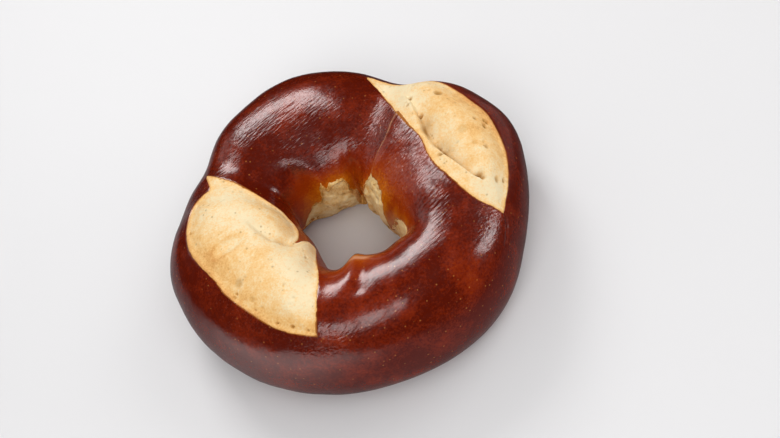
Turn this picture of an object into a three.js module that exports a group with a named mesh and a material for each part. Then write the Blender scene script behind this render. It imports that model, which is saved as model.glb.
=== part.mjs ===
// A pretzel bagel: one ring of dough with a glossy dark lye crust, lying flat on its underside.
// Two scored places have burst open and show pale domed crumb, a seam crosses the crust where the
// ends of the rolled dough overlap, and the wall of the hole is torn at its far side.
//
// Millimetres and degrees, +Z up. The ring angle runs from +X towards +Y. The section angle goes
// round the dough: 0 points away from the hole, 90 up, 180 into the hole and 270 down.
// The origin is at the bottom centre of the bagel's box.

import * as THREE from "three";

// The ring
const CREST_HEIGHT = 40;
const WAIST_HEIGHT = 17; // height at which the ring is widest
const DROP_BELOW_WAIST = 19.5; // more than the waist height, so the underside is cut off flat
const BASE_ROUNDING = 1; // how softly the side runs into the flat underside
const BOXINESS = 2.15; // 2 makes the section an ellipse, more makes it squarer

// Radii at every 30 degrees of ring angle
const OUTER_RADII = [56.5, 57.5, 55, 59.5, 57.5, 57.5, 59.5, 57.5, 55, 54, 55, 53.5];
const INNER_RADII = [8, 8, 12, 12.5, 19, 17.5, 14, 15.5, 20.5, 20.5, 18, 12];

// Places where the ring swells or is drawn in: ring angle, half width, and the change in
// outer radius, inner radius and height
const SWELLS = [
  { at: 48, width: 13, outer: -3.5, inner: 0, height: -3.8 }, // end of the right split
  { at: 62, width: 20, outer: 0, inner: 0, height: -1.9 },
  { at: 136, width: 12, outer: -3.4, inner: 0, height: -2.3 }, // end of the left split
  { at: 153, width: 9, outer: -1.3, inner: 0, height: -0.8 },
  { at: 172, width: 9, outer: 0.8, inner: 0, height: 0 },
  { at: 9, width: 10, outer: 1.9, inner: 0, height: 0 },
  { at: 258.5, width: 8.5, outer: 0, inner: -4.9, height: 0 }, // knob on the near wall of the hole
  { at: 270, width: 9, outer: 0, inner: -2, height: 0 },
  { at: 108, width: 12, outer: 0, inner: -3.2, height: 0 },
  { at: 140, width: 8, outer: 0, inner: 1.8, height: 0 },
  { at: 44, width: 8, outer: 0, inner: -1.8, height: 0 },
  { at: 346, width: 15, outer: 0, inner: -1.5, height: 0 },
  { at: 304, width: 9, outer: 0, inner: 3, height: 0 },
];

// Radii that turn ring and section angles into distances along the crust
const OUTLINE_RING_RADIUS = 36;
const OUTLINE_SECTION_RADIUS = 20;

// Burst places in the crust. Outlines and paths are points of [ring angle, section angle]. A valley
// is narrow on one side of its path and wide on the other.
const CRUST_THICKNESS = 0.35;
const CRUST_CURL = 0.25; // how far the crust's edge is turned up round a burst place
const CRUST_CURL_WIDTH = 1.6;
const VALLEY_EDGE = 1.5; // how far inside the outline a valley reaches its full depth
const VALLEY_FADE = 0.2; // share of a valley's length over which each of its ends grows shallow

const LEFT_SPLIT = {
  middle: 191,
  dome: 2.6,
  shoulder: 7,
  outline: [
    [141, 62], [142, 74], [144, 96], [148, 114], [153, 132], [158, 145], [168, 152], [179, 151],
    [190, 147], [197, 142.5], [201.5, 137], [200, 146], [195, 159], [206, 159], [217, 154],
    [230, 136], [238, 112], [240.5, 84], [241, 56], [240, 53], [229, 55], [216, 61], [202, 64],
    [192, 66.5], [179, 62], [164, 60.5], [156, 61], [152, 68], [149, 75], [145, 70],
  ],
  valleys: [
    { depth: 0.6, left: 5, right: 4, path: [[150, 86], [158, 96], [167, 104], [178, 110]] },
    {
      depth: 1.6,
      left: 2.8,
      right: 1.4,
      path: [[172, 107], [182, 112.5], [188, 115], [193.5, 118], [197.5, 124], [202, 129], [202, 135]],
    },
  ],
};

const RIGHT_SPLIT = {
  middle: 13,
  dome: 3.4,
  shoulder: 6,
  outline: [
    [60, 48], [52, 66], [44, 78], [37, 88], [31, 93], [22, 96.5], [12, 97.5], [-5, 96], [-15, 92],
    [-22, 87], [-28, 79], [-32, 71], [-34, 60], [-34.5, 42], [-33, 37], [-20, 35], [-10, 36.5],
    [-3, 40.5], [5, 46], [12, 50.5], [20, 50], [28, 48], [36, 46], [44, 46],
  ],
  valleys: [
    {
      depth: 2.6,
      left: 4.5,
      right: 0.6,
      path: [
        [41, 68], [35, 75], [30, 80], [24.5, 84.5], [16.5, 89.5], [10.5, 92.2], [1, 90.2],
        [-9, 84], [-16, 76.5], [-21, 69], [-23.5, 63], [-24.5, 54],
      ],
    },
  ],
};

// Torn places round the wall of the hole, where the crust never closed
const TEAR_DEPTH = 0.9;
const TEAR_EDGE = 2; // how far inside the outline a torn place reaches its full depth
const TEARS = [
  {
    middle: 60,
    outline: [
      [130, 194], [121, 183], [114, 179.5], [111, 174], [109, 166], [106, 160.5], [104, 166],
      [100, 163.5], [94, 162], [88, 161.5], [82, 160], [77.5, 163], [75, 172], [72, 185], [69, 198],
      [62, 196], [54, 182], [47, 164], [43, 154], [33, 148], [27.5, 142], [20, 144], [12.5, 144],
      [3, 144.5], [-6, 145], [-12, 147.5], [-19, 156], [-22, 168], [-26, 178], [-30, 196],
      [-22, 216], [20, 228], [60, 231], [100, 230], [122, 220], [132, 206],
    ],
  },
  {
    middle: -40,
    outline: [
      [-26, 190], [-31, 178], [-37, 170], [-40, 159], [-43, 151], [-50, 145], [-57, 145], [-63, 141],
      [-68, 150], [-66, 170], [-60, 190], [-45, 206], [-30, 208],
    ],
  },
];

// The overlap of the dough's ends: the crust on one side of the path stands higher
const SEAM = {
  middle: 25,
  step: 0.9,
  fade: 9,
  path: [[34.5, 90], [34, 100], [32, 108], [31, 115], [31, 122], [30, 130], [28, 137], [26, 143]],
};

// Broad rises and hollows of the crust: half length round the ring and half width round the section
const HUMPS = [
  { ring: 114, section: 60, length: 16, width: 7, height: 0.4 },
  { ring: 108, section: 117, length: 20, width: 13, height: -3 },
  { ring: 116, section: 127, length: 9, width: 5, height: 0.9 },
  { ring: -62, section: 92, length: 22, width: 6, height: -0.3 },
  { ring: -112, section: 42, length: 12, width: 6, height: 0.4 },
  { ring: 36, section: 107, length: 8, width: 9, height: -1.5 },
  { ring: 67, section: 187, length: 4.5, width: 14, height: -2.6 }, // notch where the dough's ends meet
  { ring: -41, section: 42, length: 6, width: 5, height: 0.8 },
  { ring: -33, section: 100, length: 6, width: 8, height: 1 },
];

// Creases pressed into the crust
const CREASES = [{ middle: 262, depth: 0.7, width: 2.8, path: [[265, 112], [262.5, 100], [259, 86]] }];

// Facets round the ring and round the section
const RING_STEPS = 120;
const SECTION_STEPS = 40;
const CURVE_STEPS = 4; // straight pieces between two points of an outline or path

const CRUST_MATERIAL = new THREE.MeshStandardMaterial({ color: 0x5a1a0a, roughness: 0.3, metalness: 0 });

const radians = THREE.MathUtils.degToRad;
const smoothstep = THREE.MathUtils.smoothstep;

// A smooth value between four evenly spaced ones, t of the way from b to c
function smoothBetween(a, b, c, d, t) {
  return b + 0.5 * t * (c - a + t * (2 * a - 5 * b + 4 * c - d + t * (3 * (b - c) + d - a)));
}

// A smooth value round the ring from values at evenly spaced ring angles
function roundTheRing(values, ringAngle) {
  const count = values.length;
  const place = (ringAngle / 360) * count;
  const first = Math.floor(place);
  const at = (step) => values[(((first + step) % count) + count) % count];
  return smoothBetween(at(-1), at(0), at(1), at(2), place - first);
}

// Degrees from one ring angle to another, the short way round
function turnFrom(start, ringAngle) {
  return ((((ringAngle - start + 180) % 360) + 360) % 360) - 180;
}

// A rounded hump: 1 at no distance, falling with the square of the distance over the width
function bell(distance, width) {
  return Math.exp(-((distance / width) ** 2));
}

// Radii and height of the ring at a ring angle, with its swells
function ringAt(ringAngle) {
  const ring = {
    outer: roundTheRing(OUTER_RADII, ringAngle),
    inner: roundTheRing(INNER_RADII, ringAngle),
    height: CREST_HEIGHT,
  };
  for (const swell of SWELLS) {
    const share = bell(turnFrom(swell.at, ringAngle), swell.width);
    ring.outer += swell.outer * share;
    ring.inner += swell.inner * share;
    ring.height += swell.height * share;
  }
  return ring;
}

// Ring and section angle as a flat place in millimetres, measured from a feature's middle
function flatPlace(middle, ringAngle, sectionAngle) {
  const x = radians(turnFrom(middle, ringAngle)) * OUTLINE_RING_RADIUS;
  const y = radians(sectionAngle) * OUTLINE_SECTION_RADIUS;
  return new THREE.Vector2(x, y);
}

// A smooth curve through a feature's points, as short straight pieces
function smoothCurve(middle, points, closed) {
  const places = points.map(([ringAngle, sectionAngle]) => flatPlace(middle, ringAngle, sectionAngle));
  const count = places.length;
  const last = closed ? count : count - 1;
  const at = (i) => (closed ? places[(i + count) % count] : places[Math.min(Math.max(i, 0), count - 1)]);
  const curve = [];
  for (let i = 0; i < last; i++) {
    for (let step = 0; step < CURVE_STEPS; step++) {
      const t = step / CURVE_STEPS;
      const x = smoothBetween(at(i - 1).x, at(i).x, at(i + 1).x, at(i + 2).x, t);
      const y = smoothBetween(at(i - 1).y, at(i).y, at(i + 1).y, at(i + 2).y, t);
      curve.push(new THREE.Vector2(x, y));
    }
  }
  curve.push(at(last));
  return curve;
}

// Nearest distance from a place to a curve, whether the place is on the curve's left, and how far
// along the curve it is, from 0 to 1
function nearest(curve, place) {
  let distance = Infinity;
  let onLeft = false;
  let travel = 0;
  for (let i = 0; i + 1 < curve.length; i++) {
    const along = curve[i + 1].clone().sub(curve[i]);
    const offset = place.clone().sub(curve[i]);
    const share = THREE.MathUtils.clamp(offset.dot(along) / along.lengthSq(), 0, 1);
    const gap = offset.distanceTo(along.clone().multiplyScalar(share));
    if (gap < distance) {
      distance = gap;
      onLeft = along.cross(offset) > 0;
      travel = (i + share) / (curve.length - 1);
    }
  }
  return { distance, onLeft, travel };
}

// Distance to an outline, positive inside it
function depthInside(curve, place) {
  let inside = false;
  for (let i = 0; i + 1 < curve.length; i++) {
    const a = curve[i];
    const b = curve[i + 1];
    const crosses = a.y > place.y !== b.y > place.y;
    if (crosses && place.x < a.x + ((place.y - a.y) / (b.y - a.y)) * (b.x - a.x)) inside = !inside;
  }
  const { distance } = nearest(curve, place);
  return inside ? distance : -distance;
}

// Depth of a valley at a place, which grows shallow towards both ends of its path
function valleyDepth(valley, place) {
  const { distance, onLeft, travel } = nearest(valley.path, place);
  const ends = smoothstep(travel, 0, VALLEY_FADE) * smoothstep(1 - travel, 0, VALLEY_FADE);
  return valley.depth * bell(distance, onLeft ? valley.left : valley.right) * ends;
}

// Height of a burst place over the smooth ring: domed crumb inside, turned-up crust round it
function splitRelief(split) {
  const outline = smoothCurve(split.middle, split.outline, true);
  const valleys = split.valleys.map((valley) => ({
    ...valley,
    path: smoothCurve(split.middle, valley.path, false),
  }));
  return (ringAngle, sectionAngle) => {
    const place = flatPlace(split.middle, ringAngle, sectionAngle);
    const depth = depthInside(outline, place);
    if (depth <= 0) return CRUST_CURL * bell(depth, CRUST_CURL_WIDTH);
    const edge = CRUST_CURL - CRUST_THICKNESS * smoothstep(depth, 0, CRUST_CURL_WIDTH);
    const dome = split.dome * (1 - bell(depth, split.shoulder));
    const drop = Math.max(...valleys.map((valley) => valleyDepth(valley, place)));
    return edge + dome - drop * smoothstep(depth, 0, VALLEY_EDGE);
  };
}

// Height of a torn place: the crust is missing there
function tearRelief(tear) {
  const outline = smoothCurve(tear.middle, tear.outline, true);
  return (ringAngle, sectionAngle) => {
    const depth = depthInside(outline, flatPlace(tear.middle, ringAngle, sectionAngle));
    return -TEAR_DEPTH * smoothstep(depth, 0, TEAR_EDGE);
  };
}

// Height of the overlap: the crust beside the path is lifted, and sinks back further away
function seamRelief(seam) {
  const path = smoothCurve(seam.middle, seam.path, false);
  return (ringAngle, sectionAngle) => {
    const { distance, onLeft } = nearest(path, flatPlace(seam.middle, ringAngle, sectionAngle));
    return onLeft ? seam.step * bell(distance, seam.fade) : 0;
  };
}

// Height of a broad rise or hollow, which can be longer round the ring than it is wide
function humpRelief(hump) {
  const middle = flatPlace(hump.ring, hump.ring, hump.section);
  return (ringAngle, sectionAngle) => {
    const offset = flatPlace(hump.ring, ringAngle, sectionAngle).sub(middle);
    return hump.height * bell(Math.hypot(offset.x / hump.length, offset.y / hump.width), 1);
  };
}

// Height of a crease
function creaseRelief(crease) {
  const path = smoothCurve(crease.middle, crease.path, false);
  return (ringAngle, sectionAngle) => {
    const { distance } = nearest(path, flatPlace(crease.middle, ringAngle, sectionAngle));
    return -crease.depth * bell(distance, crease.width);
  };
}

const RELIEFS = [
  splitRelief(LEFT_SPLIT),
  splitRelief(RIGHT_SPLIT),
  ...TEARS.map(tearRelief),
  seamRelief(SEAM),
  ...HUMPS.map(humpRelief),
  ...CREASES.map(creaseRelief),
];

// The sign of a value times a power of its size
function signedPower(value, power) {
  return Math.sign(value) * Math.abs(value) ** power;
}

// A height with everything under the underside laid flat on it
function aboveBase(height) {
  if (height < -BASE_ROUNDING) return 0;
  if (height > BASE_ROUNDING) return height;
  return (height + BASE_ROUNDING) ** 2 / (4 * BASE_ROUNDING);
}

// A point of the bagel's surface
function surfacePoint(ringAngle, sectionAngle) {
  const { outer, inner, height } = ringAt(ringAngle);
  const across = Math.cos(radians(sectionAngle));
  const up = Math.sin(radians(sectionAngle));
  const reach = up > 0 ? height - WAIST_HEIGHT : DROP_BELOW_WAIST;
  const rise = RELIEFS.reduce((sum, relief) => sum + relief(ringAngle, sectionAngle), 0);
  const flatRadius = (outer + inner) / 2 + ((outer - inner) / 2) * signedPower(across, 2 / BOXINESS);
  const radius = flatRadius + rise * across;
  const z = aboveBase(WAIST_HEIGHT + reach * signedPower(up, 2 / BOXINESS) + rise * up);
  return new THREE.Vector3(radius * Math.cos(radians(ringAngle)), radius * Math.sin(radians(ringAngle)), z);
}

// The whole ring as one closed mesh: a grid of points round the ring and round the section
function bagelGeometry() {
  const positions = [];
  for (let i = 0; i < RING_STEPS; i++) {
    for (let j = 0; j < SECTION_STEPS; j++) {
      const point = surfacePoint((360 * i) / RING_STEPS, (360 * j) / SECTION_STEPS - 90);
      positions.push(point.x, point.y, point.z);
    }
  }
  const corner = (i, j) => (i % RING_STEPS) * SECTION_STEPS + (j % SECTION_STEPS);
  const faces = [];
  for (let i = 0; i < RING_STEPS; i++) {
    for (let j = 0; j < SECTION_STEPS; j++) {
      const [a, b, c, d] = [corner(i, j), corner(i + 1, j), corner(i + 1, j + 1), corner(i, j + 1)];
      faces.push(a, b, c, a, c, d);
    }
  }
  const geometry = new THREE.BufferGeometry();
  geometry.setAttribute("position", new THREE.Float32BufferAttribute(positions, 3));
  geometry.setIndex(faces);
  geometry.computeBoundingBox();
  const middle = geometry.boundingBox.getCenter(new THREE.Vector3());
  geometry.translate(-middle.x, -middle.y, 0);
  geometry.computeVertexNormals();
  return geometry;
}

const bagel = new THREE.Mesh(bagelGeometry(), CRUST_MATERIAL);
bagel.name = "bagel";

const part = new THREE.Group();
part.add(bagel);

export default part;
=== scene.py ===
"""Looks of the pretzel bagel: one finely modelled ring of lye crust and crumb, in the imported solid's place.

The surface is a grid of two angles. The ring angle goes round the hole from +X towards +Y. The section
angle goes round the dough: 0 points away from the hole, 90 up, 180 into the hole and 270 down.
Shapes are worked out in millimetres and degrees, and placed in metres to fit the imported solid's box.
"""

import math

import bpy
import numpy as np
from mathutils import Matrix, Vector


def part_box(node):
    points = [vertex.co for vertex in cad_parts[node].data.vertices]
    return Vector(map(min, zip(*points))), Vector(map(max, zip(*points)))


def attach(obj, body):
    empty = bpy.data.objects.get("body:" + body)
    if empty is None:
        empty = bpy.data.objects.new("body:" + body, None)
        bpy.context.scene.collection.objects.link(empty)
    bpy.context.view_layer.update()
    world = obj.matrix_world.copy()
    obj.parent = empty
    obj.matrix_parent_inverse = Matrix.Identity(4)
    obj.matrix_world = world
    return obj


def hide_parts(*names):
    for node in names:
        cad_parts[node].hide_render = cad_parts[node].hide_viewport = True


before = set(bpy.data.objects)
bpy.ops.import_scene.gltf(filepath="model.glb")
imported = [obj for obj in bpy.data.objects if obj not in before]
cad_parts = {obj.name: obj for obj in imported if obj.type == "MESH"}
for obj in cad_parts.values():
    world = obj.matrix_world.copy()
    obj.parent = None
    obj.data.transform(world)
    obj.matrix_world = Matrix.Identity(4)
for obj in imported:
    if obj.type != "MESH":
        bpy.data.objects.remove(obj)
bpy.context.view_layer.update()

# ---------------------------------------------------------------- the ring

CREST_HEIGHT = 40.0
WAIST_HEIGHT = 17.0  # height at which the ring is widest
DROP_BELOW_WAIST = 19.5  # more than the waist height, so the underside is cut off flat
BASE_ROUNDING = 1.0  # how softly the side runs into the flat underside
BOXINESS = 2.15  # 2 makes the section an ellipse, more makes it squarer

# Radii at every 30 degrees of ring angle
OUTER_RADII = [56.5, 57.5, 55, 59.5, 57.5, 57.5, 59.5, 57.5, 55, 54, 55, 53.5]
INNER_RADII = [8, 8, 12, 12.5, 19, 17.5, 14, 15.5, 20.5, 20.5, 18, 12]

# Places where the ring swells or is drawn in: ring angle, half width, and the change in outer radius,
# inner radius and height
SWELLS = [
    (48, 13, -3.5, 0, -3.8),  # end of the right split
    (136, 12, -3.4, 0, -2.3),  # end of the left split
    (153, 9, -1.3, 0, -0.8),
    (62, 20, 0, 0, -1.9),
    (172, 9, 0.8, 0, 0),
    (9, 10, 1.9, 0, 0),
    (258.5, 8.5, 0, -4.9, 0),  # knob on the near wall of the hole
    (270, 9, 0, -2, 0),
    (108, 12, 0, -3.2, 0),
    (140, 8, 0, 1.8, 0),
    (44, 8, 0, -1.8, 0),
    (346, 15, 0, -1.5, 0),
    (304, 9, 0, 3, 0),
]

# Radii that turn ring and section angles into distances along the crust
OUTLINE_RING_RADIUS = 36.0
OUTLINE_SECTION_RADIUS = 20.0
CURVE_STEPS = 4  # straight pieces between two points of an outline or path

# ---------------------------------------------------------------- burst and torn places
# Outlines and paths are points of (ring angle, section angle).

CRUST_THICKNESS = 0.35
CRUST_CURL = 0.25  # how far the crust's edge is turned up round a burst place
CRUST_CURL_WIDTH = 1.6
CRACK_WIDTH = 0.42
CRACK_DEPTH = 0.8
CRACK_SHADOW_WIDTH = 1.9  # how far the painted shade beside a crack reaches on the crack's wide side
CRACK_SHADOW = 0.6  # how dark that painted shade is, as a share of the crack's own painted shade
CRACK_SHARE = 0.9  # what a crack keeps of its amount before its uneven part is added
VALLEY_FADE = 0.2  # share of a valley's length over which each of its ends grows shallow

# A valley is narrow on one side of its path and wide on the other. Its gaps are the places along it
# where the crumb gapes: share of its length, half width in such shares, and amount.
LEFT_SPLIT = dict(
    middle=191,
    dome=2.6,
    shoulder=7.0,
    outline=[
        (141, 62), (142, 74), (144, 96), (148, 114), (153, 132), (158, 145), (168, 152), (179, 151),
        (190, 147), (197, 142.5), (201.5, 137), (200, 146), (195, 159), (206, 159), (217, 154),
        (230, 136), (238, 112),
        (240.5, 84), (241, 56), (240, 53), (229, 55), (216, 61), (202, 64), (192, 66.5), (179, 62),
        (164, 60.5), (156, 61), (152, 68), (149, 75), (145, 70),
    ],
    valleys=[
        dict(depth=0.6, left=5.0, right=4.0, gaps=[], path=[(150, 86), (158, 96), (167, 104), (178, 110)]),
        dict(
            depth=1.6,
            left=2.8,
            right=1.4,
            gaps=[(0.72, 0.25, 0.45)],
            path=[(172, 107), (182, 112.5), (188, 115), (193.5, 118), (197.5, 124), (202, 129), (202, 135)],
        ),
    ],
)

RIGHT_SPLIT = dict(
    middle=13,
    dome=3.4,
    shoulder=6.0,
    outline=[
        (60, 48), (52, 66), (44, 78), (37, 88), (31, 93), (22, 96.5), (12, 97.5), (-5, 96), (-15, 92),
        (-22, 87), (-28, 79), (-32, 71), (-34, 60), (-34.5, 42), (-33, 37), (-20, 35), (-10, 36.5),
        (-3, 40.5), (5, 46), (12, 50.5), (20, 50), (28, 48), (36, 46), (44, 46),
    ],
    valleys=[
        dict(
            depth=2.6,
            left=4.5,
            right=0.6,
            gaps=[
                (0.62, 0.26, 0.45), (0.4, 0.07, 1.1), (0.6, 0.035, 1.2), (0.74, 0.06, 0.3),
                (0.9, 0.04, 0.8),
            ],
            path=[
                (41, 68), (35, 75), (30, 80), (24.5, 84.5), (16.5, 89.5), (10.5, 92.2), (1, 90.2),
                (-9, 84), (-16, 76.5), (-21, 69), (-23.5, 63), (-24.5, 54),
            ],
        ),
    ],
)

TEAR_DEPTH = 0.9
TEARS = [
    dict(
        middle=60,
        outline=[
            (130, 194), (121, 183), (114, 179.5), (111, 174), (109, 166), (106, 160.5), (104, 166),
            (100, 163.5), (94, 162), (88, 161.5), (82, 160), (77.5, 163), (75, 172), (72, 185), (69, 198),
            (62, 196), (54, 182), (47, 164), (43, 154), (33, 148), (27.5, 142), (20, 144), (12.5, 144),
            (3, 144.5), (-6, 145), (-12, 147.5), (-19, 156), (-22, 168), (-26, 178), (-30, 196),
            (-22, 216), (20, 228), (60, 231), (100, 230), (122, 220), (132, 206),
        ],
    ),
    dict(
        middle=-40,
        outline=[
            (-26, 190), (-31, 178), (-37, 170), (-40, 159), (-43, 151), (-50, 145), (-57, 145), (-63, 141),
            (-68, 150), (-66, 170), (-60, 190), (-45, 206), (-30, 208),
        ],
    ),
]

# The overlap of the dough's ends: the crust on one side of the path stands higher
SEAM = dict(
    middle=25,
    step=0.9,
    fade=9.0,
    path=[(34.5, 90), (34, 100), (32, 108), (31, 115), (31, 122), (30, 130), (28, 137), (26, 143)],
)

# Broad rises and hollows of the crust: ring angle, section angle, length, width and height
HUMPS = [
    (114, 60, 16, 7, 0.4),
    (108, 117, 20, 13, -3.0),
    (116, 127, 9, 5, 0.9),
    (-62, 92, 22, 6, -0.3),
    (-112, 42, 12, 6, 0.4),
    (36, 107, 8, 9, -1.5),
    (67, 187, 4.5, 14, -2.6),  # notch where the dough's ends meet in the hole
    (-41, 42, 6, 5, 0.8),
    (-33, 100, 6, 8, 1.0),
]

# Dull, finely wrinkled parts of the crust: ring angle, section angle, length, width and amount
WRINKLED = [
    (120, 74, 9, 6, 0.5), (-3, 114, 20, 10, 1.0), (45, 100, 6, 12, 1.0), (98, 118, 12, 10, 0.9),
    (62, 112, 7, 6, 0.6), (-38, 55, 5, 6, 1.0), (-38, 96, 9, 8, 0.4), (148, 76, 4, 8, 0.6),
    (243, 46, 6, 4, 0.8), (215, 60, 10, 6, 0.4),
]

# Frayed pale rims of the crust: ring angle, section angle, length, width and amount
FRAYED = [(261, 124, 5, 1.0, 2.2)]

# Parts of the crust that are baked less or more: ring angle, section angle, length, width and amount
BAKED = [
    (-12, 136, 18, 8, -0.3), (262, 126, 10, 7, -0.6), (146, 150, 14, 9, 0.25), (95, 140, 12, 5, 0.15),
]

CREASES = [
    dict(middle=262, depth=0.7, width=2.8, path=[(265, 112), (262.5, 100), (259, 86)]),
    dict(middle=-38, depth=0.4, width=0.5, path=[(-34, 36), (-36, 31), (-39, 28.5), (-43, 26)]),
]

# Open pores in the crumb: ring angle, section angle, width and depth
PORES = [
    (203.5, 76.6, 2.4, 0.45), (205.4, 69.6, 0.7, 0.7), (205.4, 66, 0.9, 0.5), (213, 72, 1.5, 0.3),
    (216, 65.5, 0.7, 0.4), (218.4, 69.6, 0.8, 0.3), (226, 61, 0.7, 0.8), (232, 60.5, 1.0, 0.9),
    (238, 58, 0.7, 0.6), (222, 130, 1.2, 0.5), (168.7, 64.6, 0.7, 0.7), (157, 138, 0.8, 0.5),
    (149, 104, 1.2, 0.3), (23.3, 65.9, 2.1, 0.8), (33.4, 76.2, 0.9, 0.7), (3.8, 60.1, 1.1, 0.6),
    (3.4, 51.9, 1.1, 0.8), (2.6, 49.8, 1.1, 0.8), (0.5, 53.5, 1.4, 0.9), (-0.5, 71.2, 2.6, 0.3),
    (-8.2, 64.6, 1.3, 0.35), (-10.3, 56.4, 1.2, 0.5), (-9.1, 88.1, 1.3, 0.7), (-23, 61.8, 1.5, 1.3),
    (-24.2, 60.1, 1.3, 1.0), (-23.3, 48.2, 1.5, 0.6), (-21.6, 39.9, 1.0, 0.9), (21.6, 85.6, 1.3, 0.9),
    (27.6, 67.5, 0.9, 0.4), (31, 84, 0.9, 0.6), (-3, 88, 0.9, 0.6), (12, 56, 0.7, 0.5),
]
SMALL_PORES = 110  # scattered over each patch of crumb
SMALL_PORE_WIDTH = (0.45, 0.9)
SMALL_PORE_DEPTH = (0.05, 0.35)

# Swollen skins on the crumb: ring angle, section angle, length, width and height
BLISTERS = [
    (185.5, 89, 4.6, 8.5, -1.1), (188, 79, 7.0, 6.0, 0.5), (-5, 67, 5.0, 4.0, -0.5),
    (212, 147, 20.0, 12.0, 1.3),  # shelf of crumb over the edge of the hole
]

# Parts of the crumb that are toasted more or less: ring angle, section angle, length, width and amount
TOASTED = [
    (165, 128, 10, 5, 0.15), (181, 139, 8, 4, 0.1), (158, 92, 8, 3.5, -0.25), (176, 108, 8, 3.5, -0.3),
    (190, 117, 6, 3, -0.2), (177, 67, 12, 4, 0.25), (166, 76, 5, 4, -0.25), (182, 79, 2, 3, 0.2),
    (190, 81, 4, 2.5, 0.25), (187, 89, 3, 2.5, -0.1), (208, 67, 12, 3.5, 0.2), (226, 61, 10, 3, 0.2),
    (206, 97, 6, 4, 0.1), (216, 83, 7, 4, 0.15), (226, 102, 8, 8, -0.3), (236, 80, 5, 8, -0.3),
    (24, 90, 6, 2, 0.1), (6, 95, 8, 2, 0.1), (-14, 87, 7, 2, 0.15), (-28, 72, 7, 2.5, 0.25),
    (30, 80, 6, 3, -0.3), (8, 85, 8, 2.5, -0.2), (-8, 78, 7, 3, -0.2), (-24, 68, 5, 3, -0.25),
    (-27, 50, 5, 5, -0.3), (19, 62, 7, 5, 0.25), (-3, 66, 5, 4, 0.2), (48, 62, 8, 5, -0.45),
    (8, 50, 8, 3, 0.3), (-8, 40, 8, 3, 0.3), (52, 51, 4, 3, 0.3), (8, 72, 14, 8, 0.15),
    (10, 92, 14, 3, -0.15),
    (236, 62, 7, 4, 0.3), (200, 72, 14, 4, 0.1), (172, 74, 9, 5, 0.1),
]

# ---------------------------------------------------------------- grids

RING_STEPS = 520
SECTION_STEPS = 190
RANDOM_SEED = 7
CLOUD_CORNER = np.array([-72.0, -72.0, -8.0])  # where the lattice of random values starts
CLOUD_SIZE = np.array([144.0, 144.0, 64.0])

# Spans of section angle: where something starts, is complete, begins to end and has ended
FINE_SPAN = (0, 45, 190, 240)  # steps round the section lie close together
RELIEF_SPAN = (-60, -20, 200, 245)  # the crust is uneven
SIDES_SPAN = (-75, -35, 220, 250)  # all but the underside
HOLE_WALL = (120, 175)  # between these the crust grows paler into the hole

# How close together the grid's steps are: away from the fine places, and how far those reach round the
# ring on either side of a split's middle, in degrees
RING_STEP_BASE = 0.55
SECTION_STEP_BASE = 0.35
FINE_RING_WIDTHS = dict(left=54, right=50)
DENSITY_PLACES = 4001  # places at which the closeness is added up

# ---------------------------------------------------------------- unevenness, baking and toasting

# Layers of random unevenness: the amount, the size of a cell of the lattice, and the seed of each
SPLIT_EDGE_LAYERS = [(0.10, 1.1, 11), (0.15, 4.0, 12)]
TEAR_EDGE_LAYERS = [(0.6, 2.2, 21), (0.4, 0.8, 22)]
TORN_LAYERS = [(0.40, 2.6, 23), (0.20, 1.1, 24), (0.08, 0.5, 25)]
CRUMB_LAYERS = [(0.25, 7.0, 31), (0.10, 2.6, 32), (0.04, 1.0, 36)]
CRUST_LAYERS = [(0.18, 9.0, 33), (0.06, 4.5, 34), (0.03, 2.0, 35)]
WRINKLE_LAYERS = [(0.10, 2.0, 37), (0.05, 1.1, 38)]
TOAST_LAYERS = [(0.08, 7.0, 41), (0.12, 3.2, 42)]
TORN_TOAST_LAYERS = [(0.30, 3.0, 43), (0.2, 1.2, 44)]
CRACK_LAYERS = [(0.5, 2.4, 46)]
BAKE_LAYERS = [(0.17, 14.0, 51), (0.06, 5.0, 52)]
FRAYED_LAYERS = [(0.6, 1.4, 53)]

# How much the crust is baked, from 0 to 1: on top, and how much less in the paler places
BAKED_ON_TOP = 0.95
PALER_TOWARD_HOLE = 0.45
PALER_BY_TEAR = 0.3
PALER_BY_TEAR_WIDTH = 5.0
PALER_UNDER = 0.55
FRAYED_SHARE = 0.85  # what the frayed rims keep before their uneven part is added
SEAM_LINE_WIDTH = 0.6

# How much the crumb is toasted, from 0 to 1: everywhere, and how much more at its edge and on rims
TOASTED_ALL_OVER = 0.30
TOASTED_AT_EDGE = 0.25
TOASTED_ON_RIMS = 0.18
INSIDE_WIDTH = 0.8  # how far inside a patch's outline its relief reaches its full height
BARE_LIMIT = 6.0  # the distance from an edge is kept up to here, on both sides of it
TORN_EDGE_RISE = 0.05  # how far the torn crumb stands out at its edge
TORN_SHADE_DEPTHS = (0.1, 0.5)  # depth of the roughness where the painted shade in its hollows starts and is complete
PORE_SHADE_START = 0.15  # depth at which a pore starts to get painted shade, darker than the crumb
PORE_SHADE_RANGE = 0.6  # and how much deeper a pore with full painted shade is
PORE_STEEPNESS = 4
BLISTER_STEEPNESS = 3
BLISTER_RIM = 1.1  # where a hollow's rim lies, as a share of its half size
BLISTER_RIM_WIDTH = 0.22

# ---------------------------------------------------------------- patches and wrinkles

# Patches of crumb: the ring and section angles they span, steps each way, and the seed of small pores
LEFT_PATCH = dict(ring=(137, 245), section=(48, 172), steps=(300, 160), seed=61)
RIGHT_PATCH = dict(ring=(-38, 64), section=(33, 101), steps=(340, 140), seed=62)
TORN_PATCH = dict(ring=(-72, 134), section=(137, 233), steps=(300, 110))
PATCH_THICKNESS = 3.0
CRUST_GAP = 4.0  # how far the crust's surface drops away under bare crumb
CRUST_GAP_WIDTH = 2.2
WRINKLE_DIRECTION = 18.0  # degrees from +X
WRINKLE_LENGTH = 4.0  # how many times longer than wide the wrinkles are


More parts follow.
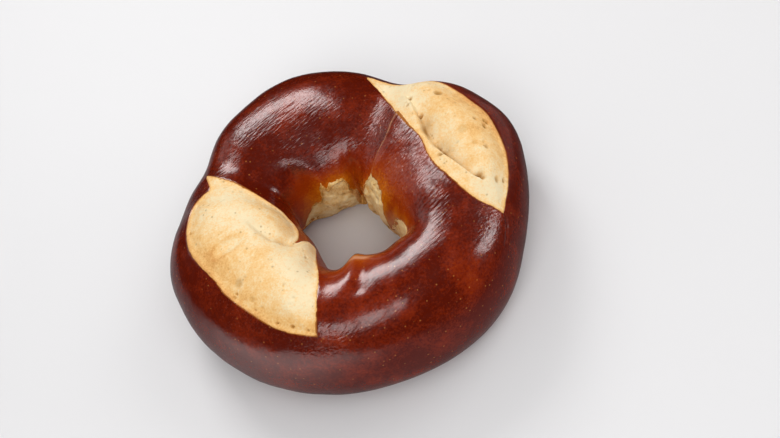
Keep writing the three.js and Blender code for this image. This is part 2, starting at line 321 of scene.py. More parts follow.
def round_the_ring(values, ring_angle):
    """Smooth values round the ring: a cubic between each two of the evenly spaced values given."""
    values = np.asarray(values, float)
    place = ring_angle / 360.0 * len(values)
    first = np.floor(place).astype(int)
    a, b, c, d = (values[(first + step) % len(values)] for step in (-1, 0, 1, 2))
    return smooth_between(a, b, c, d, place - first)


def smooth_between(a, b, c, d, t):
    """A cubic through b and c that heads from a and towards d, t of the way from b to c."""
    return b + 0.5 * t * (c - a + t * (2 * a - 5 * b + 4 * c - d + t * (3 * (b - c) + d - a)))


def turn_from(start, ring_angle):
    """Degrees from one ring angle to another, the short way round."""
    return (ring_angle - start + 180.0) % 360.0 - 180.0


def bell(distance, width):
    """A rounded hump: 1 at no distance, falling with the square of the distance over the width."""
    return np.exp(-((distance / width) ** 2))


def soft_step(value, low, high):
    """0 below low, 1 above high, and a smooth S between them."""
    t = np.clip((value - low) / (high - low), 0.0, 1.0)
    return t * t * (3.0 - 2.0 * t)


def soft_window(value, low, full, falling, gone):
    """0 below low and above gone, 1 from full to falling, and a smooth S between them."""
    return soft_step(value, low, full) * soft_step(-value, -gone, -falling)


def signed_power(value, power):
    """The sign of a value times a power of its size."""
    return np.sign(value) * np.abs(value) ** power


def flat_place(middle, ring_angle, section_angle):
    """Both angles as distances in millimetres along the crust, measured from a feature's middle."""
    x = np.radians(turn_from(middle, ring_angle)) * OUTLINE_RING_RADIUS
    y = np.radians(section_angle) * OUTLINE_SECTION_RADIUS
    return x, y


def smooth_curve(middle, points, closed):
    """A smooth curve through a feature's points, as short straight pieces."""
    ring_angle, section_angle = np.array(points, float).T
    places = np.stack(flat_place(middle, ring_angle, section_angle), axis=1)
    count = len(places)
    first = np.arange(count if closed else count - 1)
    corners = [first + step for step in (-1, 0, 1, 2)]
    corners = [c % count if closed else np.clip(c, 0, count - 1) for c in corners]
    a, b, c, d = (places[corner][:, None, :] for corner in corners)
    t = (np.arange(CURVE_STEPS) / CURVE_STEPS)[None, :, None]
    curve = smooth_between(a, b, c, d, t).reshape(-1, 2)
    return np.vstack([curve, places[:1] if closed else places[-1:]])


def nearest(curve, x, y):
    """Least distance from each place to a curve, whether the place is on the curve's left, and how far
    along the curve it is, from 0 to 1."""
    distance = np.full(x.shape, np.inf)
    on_left = np.zeros(x.shape, bool)
    travel = np.zeros(x.shape)
    for index, ((ax, ay), (bx, by)) in enumerate(zip(curve[:-1], curve[1:])):
        along_x, along_y = bx - ax, by - ay
        share = ((x - ax) * along_x + (y - ay) * along_y) / (along_x**2 + along_y**2)
        share = np.clip(share, 0.0, 1.0)
        gap = np.hypot(x - ax - share * along_x, y - ay - share * along_y)
        closer = gap < distance
        distance = np.where(closer, gap, distance)
        on_left = np.where(closer, along_x * (y - ay) - along_y * (x - ax) > 0, on_left)
        travel = np.where(closer, (index + share) / (len(curve) - 1), travel)
    return distance, on_left, travel


def depth_inside(curve, x, y):
    """Distance from each place to an outline, positive inside it."""
    inside = np.zeros(x.shape, bool)
    for (ax, ay), (bx, by) in zip(curve[:-1], curve[1:]):
        if ay == by:
            continue
        crosses = ((ay > y) != (by > y)) & (x < ax + (y - ay) / (by - ay) * (bx - ax))
        inside ^= crosses
    distance, _, _ = nearest(curve, x, y)
    return np.where(inside, distance, -distance)


def cloud(points, cell, seed):
    """Smooth random values from -1 to 1: random numbers on a cubic lattice, blended between its corners."""
    place = (points - CLOUD_CORNER) / cell
    first = np.floor(place).astype(int)
    share = place - first
    share = share * share * (3.0 - 2.0 * share)
    counts = np.ceil(CLOUD_SIZE / cell).astype(int) + 2
    lattice = np.random.default_rng(RANDOM_SEED + seed).uniform(-1.0, 1.0, counts)
    value = np.zeros(len(points))
    for corner in np.ndindex(2, 2, 2):
        weight = np.prod(np.where(np.array(corner) > 0, share, 1.0 - share), axis=1)
        value += weight * lattice[tuple((first + corner).T)]
    return value


def layers(amounts, points):
    """Sum of random clouds, each times its own amount."""
    total = np.zeros(len(points))
    for amount, cell, seed in amounts:
        total += amount * cloud(points, cell, seed)
    return total


def ring_at(ring_angle):
    """Outer radius, inner radius and height of the ring, with its swells."""
    outer = round_the_ring(OUTER_RADII, ring_angle)
    inner = round_the_ring(INNER_RADII, ring_angle)
    height = np.full(ring_angle.shape, CREST_HEIGHT)
    for at, width, outer_change, inner_change, height_change in SWELLS:
        share = bell(turn_from(at, ring_angle), width)
        outer = outer + outer_change * share
        inner = inner + inner_change * share
        height = height + height_change * share
    return outer, inner, height


def surface(ring_angle, section_angle, rise):
    """Points of the ring: a squared-off ellipse carried round the hole, lifted by rise from the middle
    of the dough, with everything under the underside laid flat on it."""
    outer, inner, height = ring_at(ring_angle)
    across = np.cos(np.radians(section_angle))
    up = np.sin(np.radians(section_angle))
    reach = np.where(up > 0, height - WAIST_HEIGHT, DROP_BELOW_WAIST)
    radius = (outer + inner) / 2 + (outer - inner) / 2 * signed_power(across, 2 / BOXINESS) + rise * across
    z = WAIST_HEIGHT + reach * signed_power(up, 2 / BOXINESS) + rise * up
    rounded = (np.clip(z, -BASE_ROUNDING, BASE_ROUNDING) + BASE_ROUNDING) ** 2 / (4 * BASE_ROUNDING)
    z = np.where(z > BASE_ROUNDING, z, rounded)
    turn = np.radians(ring_angle)
    return np.stack([radius * np.cos(turn), radius * np.sin(turn), z], axis=1)


def uneven_steps(count, low, high, density):
    """count values from low up to but not including high, closer together where density is larger."""
    fine = np.linspace(low, high, DENSITY_PLACES)
    total = np.concatenate([[0.0], np.cumsum(density(0.5 * (fine[1:] + fine[:-1])))])
    return np.interp(np.arange(count) / count * total[-1], total, fine)


def ring_density(ring_angle):
    """Steps round the ring crowd together over the two burst places."""
    over_left = bell(turn_from(LEFT_SPLIT["middle"], ring_angle), FINE_RING_WIDTHS["left"])
    over_right = bell(turn_from(RIGHT_SPLIT["middle"], ring_angle), FINE_RING_WIDTHS["right"])
    return RING_STEP_BASE + np.maximum(over_left, over_right)


def section_density(section_angle):
    """Steps round the section crowd together on the top and on the wall of the hole."""
    return SECTION_STEP_BASE + soft_window(section_angle, *FINE_SPAN)


# ---------------------------------------------------------------- relief


def split_depth(split, points, ring_angle, section_angle):
    """Distance inside a burst place's slightly ragged outline, in millimetres."""
    x, y = flat_place(split["middle"], ring_angle, section_angle)
    depth = depth_inside(smooth_curve(split["middle"], split["outline"], True), x, y)
    return depth + layers(SPLIT_EDGE_LAYERS, points)


def split_crumb(split, depth, points, ring_angle, section_angle):
    """Rise of the crumb in a burst place, and the painted shade in its cracks. From under the crust's edge
    the crumb rises as one minus a bell of the depth inside the outline. Each valley takes away a bell
    of the distance to its path, wider on the path's left than on its right, and each gap in it adds a
    crack, which is cut into the crumb and painted darker as shade, most of all on the path's wide side."""
    inside = np.maximum(depth, 0.0)
    rise = CRUST_CURL - CRUST_THICKNESS * soft_step(inside, 0.0, CRUST_CURL_WIDTH)
    rise += split["dome"] * (1.0 - bell(inside, split["shoulder"])) + np.minimum(depth, 0.0)
    drop = np.zeros(depth.shape)
    crack_and_shade = np.zeros(depth.shape)
    x, y = flat_place(split["middle"], ring_angle, section_angle)
    for valley in split["valleys"]:
        distance, on_left, travel = nearest(smooth_curve(split["middle"], valley["path"], False), x, y)
        share = bell(distance, np.where(on_left, valley["left"], valley["right"]))
        fade = soft_window(travel, 0.0, VALLEY_FADE, 1.0 - VALLEY_FADE, 1.0)
        drop = np.maximum(drop, valley["depth"] * share * fade)
        # painted shade on the crumb beside each crack, reaching further on the wide side
        shadow = CRACK_SHADOW * bell(distance, np.where(on_left, CRACK_SHADOW_WIDTH, CRACK_WIDTH))
        near = np.maximum(bell(distance, CRACK_WIDTH), shadow)
        for at, length, amount in valley["gaps"]:
            crack_and_shade += amount * bell(travel - at, length) * near
    crack_and_shade *= CRACK_SHARE + layers(CRACK_LAYERS, points)
    return rise - (drop + CRACK_DEPTH * crack_and_shade) * soft_step(depth, -0.5, 1.5), crack_and_shade


def tear_depth(points, ring_angle, section_angle):
    """Distance inside the ragged outlines of the torn places, in millimetres."""
    depth = np.full(ring_angle.shape, -np.inf)
    for tear in TEARS:
        x, y = flat_place(tear["middle"], ring_angle, section_angle)
        outline = smooth_curve(tear["middle"], tear["outline"], True)
        depth = np.maximum(depth, depth_inside(outline, x, y))
    return depth + layers(TEAR_EDGE_LAYERS, points)


def seam_relief(ring_angle, section_angle):
    """Rise beside the overlap of the dough's ends, and how close the overlap's edge is."""
    x, y = flat_place(SEAM["middle"], ring_angle, section_angle)
    distance, on_left, _ = nearest(smooth_curve(SEAM["middle"], SEAM["path"], False), x, y)
    rise = np.where(on_left, SEAM["step"] * bell(distance, SEAM["fade"]), 0.0)
    return rise, bell(distance, SEAM_LINE_WIDTH)


def ovals(places, ring_angle, section_angle):
    """Sum of rounded oval spots, each given by ring angle, section angle, length, width and amount."""
    total = np.zeros(ring_angle.shape)
    for at_ring, at_section, length, width, amount in places:
        x, y = flat_place(at_ring, ring_angle, section_angle)
        y = y - np.radians(at_section) * OUTLINE_SECTION_RADIUS
        total += amount * bell(np.hypot(x / length, y / width), 1.0)
    return total


def crease_relief(crease, ring_angle, section_angle):
    """A rounded hollow along a short path."""
    x, y = flat_place(crease["middle"], ring_angle, section_angle)
    distance, _, _ = nearest(smooth_curve(crease["middle"], crease["path"], False), x, y)
    return -crease["depth"] * bell(distance, crease["width"])


def scattered_pores(patch):
    """Small pores at random places of a patch."""
    rng = np.random.default_rng(RANDOM_SEED + patch["seed"])
    return np.stack(
        [
            rng.uniform(*patch["ring"], SMALL_PORES),
            rng.uniform(*patch["section"], SMALL_PORES),
            rng.uniform(*SMALL_PORE_WIDTH, SMALL_PORES),
            rng.uniform(*SMALL_PORE_DEPTH, SMALL_PORES),
        ],
        axis=1,
    )


def pore_relief(pores, ring_angle, section_angle):
    """Steep-sided round pits, and how much painted shade each place gets for lying in a pit."""
    rise = np.zeros(ring_angle.shape)
    painted_pit_shade = np.zeros(ring_angle.shape)
    for at_ring, at_section, width, depth in pores:
        x, y = flat_place(at_ring, ring_angle, section_angle)
        y = y - np.radians(at_section) * OUTLINE_SECTION_RADIUS
        share = np.exp(-((np.hypot(x, y) / (width / 2)) ** PORE_STEEPNESS))
        rise -= depth * share
        painted_pit_shade = np.maximum(painted_pit_shade, share * np.clip((depth - PORE_SHADE_START) / PORE_SHADE_RANGE, 0.0, 1.0))
    return rise, painted_pit_shade


def blister_relief(ring_angle, section_angle):
    """Low oval humps and hollows in the crumb's skin, and how close the rim of a hollow is."""
    rise = np.zeros(ring_angle.shape)
    rim = np.zeros(ring_angle.shape)
    for at_ring, at_section, length, width, height in BLISTERS:
        x, y = flat_place(at_ring, ring_angle, section_angle)
        y = y - np.radians(at_section) * OUTLINE_SECTION_RADIUS
        out = 2.0 * np.hypot(x / length, y / width)
        rise += height * np.exp(-(out**BLISTER_STEEPNESS))
        rim += max(-height, 0.0) * bell(out - BLISTER_RIM, BLISTER_RIM_WIDTH)
    return rise, rim


def crust_surface():
    """The whole ring of crust as a closed grid of ring and section angles. Its rise is the sum of a curl
    at the edges of the burst places, a drop under bare crumb, the seam, the humps, the creases, and
    the uneven and wrinkled layers. Also gives the values that its material reads."""
    ring_steps = uneven_steps(RING_STEPS, 0.0, 360.0, ring_density)
    section_steps = uneven_steps(SECTION_STEPS, -90.0, 270.0, section_density)
    ring_angle, section_angle = (a.ravel() for a in np.meshgrid(ring_steps, section_steps, indexing="ij"))
    plain = surface(ring_angle, section_angle, 0.0)
    split = np.maximum(
        split_depth(LEFT_SPLIT, plain, ring_angle, section_angle),
        split_depth(RIGHT_SPLIT, plain, ring_angle, section_angle),
    )
    tear = tear_depth(plain, ring_angle, section_angle)
    bare = np.maximum(split, tear)
    rise = CRUST_CURL * bell(split, CRUST_CURL_WIDTH) - CRUST_GAP * soft_step(bare, 0.0, CRUST_GAP_WIDTH)
    seam_rise, seam_line = seam_relief(ring_angle, section_angle)
    rise += seam_rise + ovals(HUMPS, ring_angle, section_angle)
    pale = np.maximum(seam_line, ovals(FRAYED, ring_angle, section_angle))
    pale = pale * (FRAYED_SHARE + layers(FRAYED_LAYERS, plain))
    for crease in CREASES:
        rise += crease_relief(crease, ring_angle, section_angle)
    rise += soft_window(section_angle, *RELIEF_SPAN) * layers(CRUST_LAYERS, plain)

    toward_hole = PALER_TOWARD_HOLE * soft_step(section_angle, *HOLE_WALL)
    toward_hole += PALER_BY_TEAR * bell(np.minimum(tear, 0.0), PALER_BY_TEAR_WIDTH)
    under = 1.0 - soft_window(section_angle, *SIDES_SPAN)
    bake = BAKED_ON_TOP - toward_hole * (1.0 - under) - PALER_UNDER * under
    bake += layers(BAKE_LAYERS, plain) + ovals(BAKED, ring_angle, section_angle)
    wrinkled = np.clip(ovals(WRINKLED, ring_angle, section_angle), 0.0, 1.0)
    rise += wrinkled * layers(WRINKLE_LAYERS, plain)
    lean = np.radians(WRINKLE_DIRECTION)
    along = plain[:, 0] * np.cos(lean) + plain[:, 1] * np.sin(lean)
    across = plain[:, 1] * np.cos(lean) - plain[:, 0] * np.sin(lean)
    grain = np.stack([along / WRINKLE_LENGTH, across, plain[:, 2]], axis=1)
    values = dict(
        bare=np.clip(bare, -BARE_LIMIT, BARE_LIMIT),
        bake=np.clip(bake, 0.0, 1.0),
        pale=np.clip(pale, 0.0, 1.0),
        wrinkled=wrinkled,
        under=np.clip(under, 0.0, 1.0),
        grain=grain,
    )
    return surface(ring_angle, section_angle, rise), values


def patch_angles(patch):
    """Ring and section angles over a patch's grid."""
    ring_steps = np.linspace(*patch["ring"], patch["steps"][0])
    section_steps = np.linspace(*patch["section"], patch["steps"][1])
    return (a.ravel() for a in np.meshgrid(ring_steps, section_steps, indexing="ij"))


def slab(ring_angle, section_angle, rise, steps):
    """A patch's outer surface and, a thickness below it, its inner one, as one loop round the slab."""
    outer = surface(ring_angle, section_angle, rise).reshape(*steps, 3)
    inner = surface(ring_angle, section_angle, rise - PATCH_THICKNESS).reshape(*steps, 3)
    return np.concatenate([outer, inner[:, ::-1]], axis=1).reshape(-1, 3)


def slab_values(values, steps):
    """Values over a patch's outer surface, repeated for its inner one."""
    grids = {label: value.reshape(steps) for label, value in values.items()}
    return {label: np.concatenate([g, g[:, ::-1]], axis=1).ravel() for label, g in grids.items()}


def split_patch(split, patch):
    """The domed crumb of a burst place: over a grid of ring and section angles, its rise is that of the
    domes and valleys, plus the humps, the pores, the blisters and the uneven layers."""
    ring_angle, section_angle = patch_angles(patch)
    plain = surface(ring_angle, section_angle, 0.0)
    depth = split_depth(split, plain, ring_angle, section_angle)
    rise, crack_and_shade = split_crumb(split, depth, plain, ring_angle, section_angle)
    inside = soft_step(depth, 0.0, INSIDE_WIDTH)
    pore_rise, painted_pit_shade = pore_relief(PORES, ring_angle, section_angle)
    small_rise, small_pit_shade = pore_relief(scattered_pores(patch), ring_angle, section_angle)
    blister_rise, rim = blister_relief(ring_angle, section_angle)
    rise += ovals(HUMPS, ring_angle, section_angle) + inside * (pore_rise + small_rise + blister_rise)
    rise += inside * layers(CRUMB_LAYERS, plain)
    toast = TOASTED_ALL_OVER + layers(TOAST_LAYERS, plain) + ovals(TOASTED, ring_angle, section_angle)
    toast += TOASTED_AT_EDGE * bell(depth, 1.0) + TOASTED_ON_RIMS * rim
    values = dict(
        toast=np.clip(toast, 0.0, 1.0),
        # painted shade in the pores and along the cracks
        painted_pit_shade=np.clip(np.maximum.reduce([painted_pit_shade, small_pit_shade, crack_and_shade]), 0.0, 1.0) * inside,
        bare=np.clip(depth, -BARE_LIMIT, BARE_LIMIT),
    )
    return slab(ring_angle, section_angle, rise, patch["steps"]), slab_values(values, patch["steps"])


def torn_patch(patch):
    """The rough crumb on the torn wall of the hole: over a grid of ring and section angles, it lies a
    tear's depth below the crust, less the uneven layers."""
    ring_angle, section_angle = patch_angles(patch)
    plain = surface(ring_angle, section_angle, 0.0)
    depth = tear_depth(plain, ring_angle, section_angle)
    inside = soft_step(depth, 0.0, INSIDE_WIDTH)
    rough = layers(TORN_LAYERS, plain)
    rise = TORN_EDGE_RISE - (TEAR_DEPTH - rough) * inside + np.minimum(depth, 0.0)
    toast = TOASTED_ALL_OVER + layers(TORN_TOAST_LAYERS, plain)
    values = dict(
        toast=np.clip(toast, 0.0, 1.0),
        # painted shade in the deeper hollows of the torn crumb
        painted_pit_shade=soft_step(-rough, *TORN_SHADE_DEPTHS) * inside,
        bare=np.clip(depth, -BARE_LIMIT, BARE_LIMIT),
    )
    return slab(ring_angle, section_angle, rise, patch["steps"]), slab_values(values, patch["steps"])


class Place:
    """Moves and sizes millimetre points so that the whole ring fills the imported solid's box."""

    def __init__(self, points):
        """Fits the width and the middle of the foot of the points to those of the box."""
        low, high = (np.array(corner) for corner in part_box("bagel"))
        own_low, own_high = points.min(axis=0), points.max(axis=0)
        own_foot = np.array([*(own_low + own_high)[:2] / 2, own_low[2]])
        self.size = (high[0] - low[0]) / (own_high[0] - own_low[0])
        self.ring_middle = np.array([*(low + high)[:2] / 2, low[2]]) - own_foot * self.size

    def __call__(self, points):
        """The points' places in metres."""
        return points * self.size + self.ring_middle


def make_piece(name, points, faces, values):
    """A mesh object with smooth faces and named values at its points."""
    mesh = bpy.data.meshes.new(name)
    mesh.vertices.add(len(points))
    mesh.vertices.foreach_set("co", points.astype(np.float32).ravel())
    mesh.loops.add(faces.size)
    mesh.loops.foreach_set("vertex_index", faces.astype(np.int32).ravel())
    mesh.polygons.add(len(faces))
    mesh.polygons.foreach_set("loop_start", np.arange(0, faces.size, 4, dtype=np.int32))
    mesh.polygons.foreach_set("use_smooth", np.ones(len(faces), bool))
    mesh.update(calc_edges=True)
    for label, value in values.items():
        kind, key = ("FLOAT_VECTOR", "vector") if value.ndim == 2 else ("FLOAT", "value")
        mesh.attributes.new(label, kind, "POINT").data.foreach_set(key, value.astype(np.float32).ravel())
    piece = bpy.data.objects.new(name, mesh)
    bpy.context.scene.collection.objects.link(piece)
    return piece


def loop_faces(rows, columns, closed_rows):
    """Four-sided faces over a grid whose columns close on themselves, and whose rows may."""
    first_rows = np.arange(rows if closed_rows else rows - 1)
    row, column = np.meshgrid(first_rows, np.arange(columns), indexing="ij")
    next_row, next_column = (row + 1) % rows, (column + 1) % columns
    corners = [row * columns + column, next_row * columns + column]
    corners += [next_row * columns + next_column, row * columns + next_column]
    return np.stack(corners, axis=-1).reshape(-1, 4)


def end_faces(rows, columns):
    """Faces that close both ends of a slab's loop of outer and inner points."""
    outer = np.arange(columns // 2 - 1)
    inner = columns - 1 - outer
    start = np.stack([outer, outer + 1, inner - 1, inner], axis=1)
    end = start[:, ::-1] + (rows - 1) * columns
    return np.vstack([start, end])


# ---------------------------------------------------------------- material


def srgb(code):
    """A web colour as linear red, green, blue and alpha."""
    parts = [int(code[i : i + 2], 16) / 255 for i in (1, 3, 5)]
    return [p / 12.92 if p <= 0.04045 else ((p + 0.055) / 1.055) ** 2.4 for p in parts] + [1.0]


class Recipe:
    """A material's nodes, added one by one. An input is a number, a colour or another node's output."""

    def __init__(self, name):
        """An empty material."""
        self.material = bpy.data.materials.new(name)
        self.material.use_nodes = True
        self.tree = self.material.node_tree
        self.tree.nodes.clear()

    def add(self, kind, inputs=None, **settings):
        """A node of a kind, with its settings made and each input linked or set."""
        node = self.tree.nodes.new(kind)
        for key, value in settings.items():
            setattr(node, key, value)
        for key, value in (inputs or {}).items():
            if isinstance(value, bpy.types.NodeSocket):
                self.tree.links.new(value, node.inputs[key])
            else:
                node.inputs[key].default_value = value
        return node

    def value(self, label):
        """One of the mesh's named values."""
        return self.add("ShaderNodeAttribute", attribute_name=label).outputs["Fac"]

    def vector(self, label):
        """One of the mesh's named vectors."""
        return self.add("ShaderNodeAttribute", attribute_name=label).outputs["Vector"]

    def math(self, operation, a, b=0.0, c=0.0):
        """The result of an operation on up to three values."""
        return self.add("ShaderNodeMath", {0: a, 1: b, 2: c}, operation=operation).outputs[0]

    def centred(self, value, spread):
        """A value from 0 to 1, turned into one from half the spread below 0 to half of it above."""
        return self.math("MULTIPLY_ADD", value, spread, -spread / 2)

    def step(self, value, low, high, start=0.0, end=1.0):
        """start below low, end above high, and a smooth S between."""
        inputs = {"Value": value, "From Min": low, "From Max": high, "To Min": start, "To Max": end}
        return self.add("ShaderNodeMapRange", inputs, interpolation_type="SMOOTHSTEP").outputs[0]

    def noise(self, vector, scale, detail=3.0, roughness=0.55):
        """Cloudy noise from 0 to 1."""
        inputs = {"Vector": vector, "Scale": scale, "Detail": detail, "Roughness": roughness}
        return self.add("ShaderNodeTexNoise", inputs).outputs[0]

    def cells(self, vector, scale):
        """Distance to the nearest of many scattered points."""
        return self.add("ShaderNodeTexVoronoi", {"Vector": vector, "Scale": scale}).outputs["Distance"]

    def mix(self, share, a, b):
        """Colour a, turning into b as share grows."""
        return self.add("ShaderNodeMix", {0: share, 6: a, 7: b}, data_type="RGBA").outputs[2]

    def ramp(self, value, stops):
        """A colour that runs through (place, colour) stops."""
        node = self.add("ShaderNodeValToRGB", {"Fac": value})
        elements = node.color_ramp.elements
        while len(elements) < len(stops):
            elements.new(0.5)
        for element, (place, code) in zip(elements, stops):
            element.position = place
            element.color = srgb(code)
        return node.outputs["Color"]

    def bump(self, height, distance, strength):
        """A normal that is tilted as if the surface rose and fell with the height."""
        inputs = {"Height": height, "Distance": distance, "Strength": strength}
        return self.add("ShaderNodeBump", inputs).outputs["Normal"]


def crust_material():
    """Glossy mahogany lye crust, amber towards the hole, with short wrinkles, fine bubbles and specks."""
    r = Recipe("lye_crust")
    place = r.add("ShaderNodeTexCoord").outputs["Object"]
    grain = r.vector("grain")
    mottle = r.centred(r.noise(place, scale=220.0, detail=4.0, roughness=0.6), spread=0.45)
    grains = r.centred(r.noise(place, scale=1400.0, detail=2.0, roughness=0.6), spread=0.45)
    bake = r.math("ADD", r.value("bake"), r.math("ADD", mottle, grains))
    color = r.ramp(
        bake, [(0.0, "#d88a1c"), (0.25, "#b85c0a"), (0.5, "#9a3806"), (0.8, "#7e2306"), (1.0, "#581203")]
    )
    speck = r.step(r.cells(place, scale=420.0), low=0.06, high=0.14, start=1.0, end=0.0)
    color = r.mix(r.math("MULTIPLY", speck, 0.4), color, srgb("#c9803c"))
    color = r.mix(r.math("MULTIPLY", r.value("pale"), 0.8), color, srgb("#d89a72"))
    edge = r.step(r.value("bare"), low=-0.4, high=0.15, start=0.0, end=0.8)
    color = r.mix(edge, color, srgb("#b8722c"))

    wrinkled = r.value("wrinkled")
    wrinkles = r.noise(grain, scale=1.4, detail=1.0, roughness=0.5)
    wrinkles = r.math("MULTIPLY", wrinkles, r.math("MULTIPLY_ADD", wrinkled, 3.6, 0.4))
    skin = r.noise(place, scale=900.0, detail=3.0, roughness=0.6)
    height = r.math("MULTIPLY_ADD", skin, 0.25, wrinkles)
    roughness = r.step(skin, low=0.3, high=0.7, start=0.15, end=0.26)
    roughness = r.math("MULTIPLY_ADD", wrinkled, 0.13, roughness)
    roughness = r.math("MULTIPLY_ADD", r.value("under"), 0.3, roughness)
    normal = r.bump(height, distance=0.00016, strength=0.5)
    look = {"Base Color": color, "Roughness": roughness, "Normal": normal, "IOR": 1.45}
    shader = r.add("ShaderNodeBsdfPrincipled", look)
    r.add("ShaderNodeOutputMaterial", {"Surface": shader.outputs[0]})
    return r.material


def crumb_material(name, stops):
    """Matt crumb whose colour runs through the stops as it is more toasted, with painted shade in its pores,
    cracks, bubbles and torn hollows.
    """
    r = Recipe(name)
    place = r.add("ShaderNodeTexCoord").outputs["Object"]
    blotches = r.centred(r.noise(place, scale=380.0, detail=4.0, roughness=0.7), spread=1.1)
    grains = r.centred(r.noise(place, scale=1700.0, detail=3.0, roughness=0.7), spread=1.2)
    toast = r.math("ADD", r.value("toast"), r.math("ADD", blotches, grains))
    edge = r.step(r.value("bare"), low=0.0, high=0.5, start=0.35, end=0.0)
    toast = r.math("ADD", toast, edge)
    color = r.ramp(toast, stops)
    # tiny bubbles: dented in the bump and painted darker as shade inside them
    bubbles_and_shade = r.step(r.cells(place, scale=480.0), low=0.12, high=0.22, start=1.0, end=0.0)
    where = r.step(r.noise(place, scale=330.0, detail=1.0), low=0.52, high=0.6)
    bubbles_and_shade = r.math("MULTIPLY", bubbles_and_shade, where)
    color = r.mix(r.math("MULTIPLY", bubbles_and_shade, 0.45), color, srgb("#a8783a"))
    # painted shade: pores, cracks and torn hollows turn toward a dark ochre
    color = r.mix(r.math("MULTIPLY", r.value("painted_pit_shade"), 0.85), color, srgb("#a8741f"))
    fine = r.noise(place, scale=1100.0, detail=4.0, roughness=0.7)
    height = r.math("ADD", fine, r.noise(place, scale=350.0, detail=2.0))
    height = r.math("SUBTRACT", height, bubbles_and_shade)
    normal = r.bump(height, distance=0.0003, strength=0.5)
    look = {"Base Color": color, "Roughness": 0.8, "Normal": normal, "IOR": 1.4}
    shader = r.add("ShaderNodeBsdfPrincipled", look)
    r.add("ShaderNodeOutputMaterial", {"Surface": shader.outputs[0]})
    return r.material


# ---------------------------------------------------------------- studio

# The camera, in degrees and metres
VIEW_HEIGHT_ANGLE = 54.0  # above the floor
VIEW_ROLL = 25.0  # about the camera's own axis
VIEW_DISTANCE = 0.55
VIEW_LENS = 81.5
VIEW_AIM = Vector((0.0, 0.0, 0.018))  # the point that it stands opposite, from the ring's own middle
VIEW_OFFSET = (0.0107, 0.0023)  # how far right of and above that point it looks

FLOOR_HEIGHT = -0.0002
FLOOR_WIDTH = 8.0
# Patches of floor that show only in reflections: width, x, y, colour and glow
MIRRORED_FLOORS = [
    (0.26, -0.08, -0.03, "#969698", 0.0),
    (0.20, -0.148, -0.126, "#f0f0f0", 1.1),
    (0.14, 0.17, 0.06, "#8c8484", 0.0),
]
FADE_START = 0.75  # a patch is whole up to this share of half its width
FADE_END = 1.45  # and it is gone at this share

# The lights stand on a sphere round the bagel. Each is its ring angle, height angle, width and height,
# the power that lights, and the power that is only mirrored.
LIGHT_DISTANCE = 0.62
MIRRORED_DISTANCE = 0.6  # nearer, so that nothing hides them
LIGHTS = {
    "back_box": (97, 46, 0.24, 0.26, 1.0, 2.4),
    "front_box": (-113, 49, 0.26, 0.2, 0.9, 0.9),
    "side_box": (-12, 14, 0.25, 0.2, 0.3, 1.5),
    "top_box": (-75, 66, 0.4, 0.4, 0.7, 0.0),
    "right_box": (15, 45, 0.3, 0.3, 0.55, 0.0),
    "left_box": (132, 25, 0.25, 0.2, 0.1, 0.2),
}
WORLD_STRENGTH = 0.46


def floor_material():
    """The pale, half-matt floor."""
    r = Recipe("floor")
    look = {"Base Color": srgb("#e6e5e6"), "Roughness": 0.6, "Specular IOR Level": 0.5}
    r.add("ShaderNodeOutputMaterial", {"Surface": r.add("ShaderNodeBsdfPrincipled", look).outputs[0]})
    return r.material


def fading_material(name, color, glow, radius):
    """A matt surface that fades away with the distance from its middle: whole up to FADE_START of the
    radius, and gone at FADE_END of it."""
    r = Recipe(name)
    place = r.add("ShaderNodeTexCoord").outputs["Object"]
    distance = r.add("ShaderNodeVectorMath", {0: place}, operation="LENGTH").outputs["Value"]
    gone = r.step(distance, FADE_START * radius, FADE_END * radius)
    look = {"Base Color": color, "Roughness": 1.0, "Specular IOR Level": 0.0}
    look.update({"Emission Color": color, "Emission Strength": glow})
    shader = r.add("ShaderNodeBsdfPrincipled", look)
    clear = r.add("ShaderNodeBsdfTransparent")
    mixed = r.add("ShaderNodeMixShader", {0: gone, 1: shader.outputs[0], 2: clear.outputs[0]})
    r.add("ShaderNodeOutputMaterial", {"Surface": mixed.outputs[0]})
    return r.material


def make_floor(name, width, height, material):
    """A level square centred on the bagel."""
    half = width / 2
    corners = [(-half, -half, height), (half, -half, height), (half, half, height), (-half, half, height)]
    mesh = bpy.data.meshes.new(name)
    mesh.from_pydata(corners, [], [(0, 1, 2, 3)])
    floor = bpy.data.objects.new(name, mesh)
    floor.data.materials.append(material)
    bpy.context.scene.collection.objects.link(floor)
    return floor


def make_floors():
    """The pale floor that the bagel lies on, and the patches just above it that reflections show
    instead, each a little higher than the one before."""
    floor = make_floor("floor", FLOOR_WIDTH, FLOOR_HEIGHT, floor_material())
    floor.visible_glossy = False
    for index, (width, x, y, color, glow) in enumerate(MIRRORED_FLOORS):
        matt = fading_material("mirrored_floor", srgb(color), glow, width / 2)
        mirrored = make_floor("mirrored_floor", FADE_END * width, FLOOR_HEIGHT / (index + 2), matt)
        mirrored.location = (x, y, 0.0)
        mirrored.visible_camera = mirrored.visible_diffuse = mirrored.visible_shadow = False


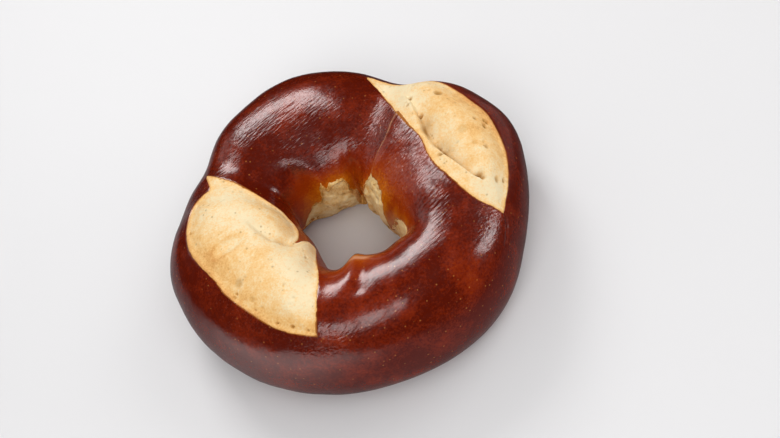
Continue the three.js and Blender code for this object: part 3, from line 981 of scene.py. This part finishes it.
def softbox(name, ring_angle, height_angle, width, height, light_power, mirrored_power):
    """Up to two rectangular lights, one behind the other, on the side given by a ring angle and a height
    angle, facing the bagel: one lights it, and the nearer one is only mirrored."""
    turn, lift = math.radians(ring_angle), math.radians(height_angle)
    out = Vector((math.cos(turn) * math.cos(lift), math.sin(turn) * math.cos(lift), math.sin(lift)))
    for mirrored, power in ((False, light_power), (True, mirrored_power)):
        if power == 0.0:
            continue
        light = bpy.data.lights.new(name, "AREA")
        light.shape = "RECTANGLE"
        light.size, light.size_y = width, height
        light.energy = power
        lamp = bpy.data.objects.new(name, light)
        lamp.location = out * (MIRRORED_DISTANCE if mirrored else LIGHT_DISTANCE)
        lamp.rotation_mode = "QUATERNION"
        lamp.rotation_quaternion = out.to_track_quat("Z", "Y")
        lamp.visible_diffuse = not mirrored
        lamp.visible_glossy = mirrored
        bpy.context.scene.collection.objects.link(lamp)


def make_world(color, strength):
    """An even light from all round, which isn't mirrored."""
    world = bpy.data.worlds.new("studio")
    world.use_nodes = True
    background = world.node_tree.nodes["Background"]
    background.inputs["Color"].default_value = color
    background.inputs["Strength"].default_value = strength
    world.cycles_visibility.glossy = False
    bpy.context.scene.world = world


def make_camera(middle):
    """A camera above and in front of the bagel, turned about its own axis, aimed a little to the right."""
    lift, roll = math.radians(VIEW_HEIGHT_ANGLE), math.radians(VIEW_ROLL)
    back = Vector((0.0, -math.cos(lift), math.sin(lift)))
    level_up = Vector((0.0, math.sin(lift), math.cos(lift)))
    right = Vector((1.0, 0.0, 0.0)) * math.cos(roll) - level_up * math.sin(roll)
    up = Vector((1.0, 0.0, 0.0)) * math.sin(roll) + level_up * math.cos(roll)
    target = Vector(middle) + VIEW_AIM
    location = target + back * VIEW_DISTANCE
    aim = target + right * VIEW_OFFSET[0] + up * VIEW_OFFSET[1]
    back = (location - aim).normalized()
    right = up.cross(back).normalized()
    up = back.cross(right)
    data = bpy.data.cameras.new("camera")
    data.lens = VIEW_LENS
    data.clip_start, data.clip_end = 0.01, 20.0
    camera = bpy.data.objects.new("camera", data)
    camera.matrix_world = Matrix.Translation(location) @ Matrix((right, up, back)).transposed().to_4x4()
    bpy.context.scene.collection.objects.link(camera)
    bpy.context.scene.camera = camera


def add_piece(name, points, faces, values, material):
    """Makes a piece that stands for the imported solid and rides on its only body."""
    piece = make_piece(name, points, faces, values)
    piece.data.materials.append(material)
    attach(piece, "root")
    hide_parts("bagel")


crust_points, crust_values = crust_surface()
place = Place(crust_points)
crust_faces = loop_faces(RING_STEPS, SECTION_STEPS, True)
add_piece("crust", place(crust_points), crust_faces, crust_values, crust_material())
split_crumb_material = crumb_material(
    "toasted_crumb", [(0.0, "#f3dfb5"), (0.3, "#f4d199"), (0.65, "#f0bd74"), (1.0, "#dc9e56")]
)
torn_crumb_material = crumb_material(
    "torn_crumb", [(0.0, "#f4dca8"), (0.4, "#ecc886"), (0.7, "#d9a55c"), (1.0, "#b07c34")]
)
for name, patch, material, (points, values) in (
    ("left_crumb", LEFT_PATCH, split_crumb_material, split_patch(LEFT_SPLIT, LEFT_PATCH)),
    ("right_crumb", RIGHT_PATCH, split_crumb_material, split_patch(RIGHT_SPLIT, RIGHT_PATCH)),
    ("torn_crumb", TORN_PATCH, torn_crumb_material, torn_patch(TORN_PATCH)),
):
    rows, columns = patch["steps"][0], 2 * patch["steps"][1]
    faces = np.vstack([loop_faces(rows, columns, False), end_faces(rows, columns)])
    add_piece(name, place(points), faces, values, material)

make_floors()
make_world(srgb("#ffffff"), WORLD_STRENGTH)
for name, light in LIGHTS.items():
    softbox(name, *light)
make_camera(place.ring_middle)
bpy.context.scene.view_settings.view_transform = "Standard"
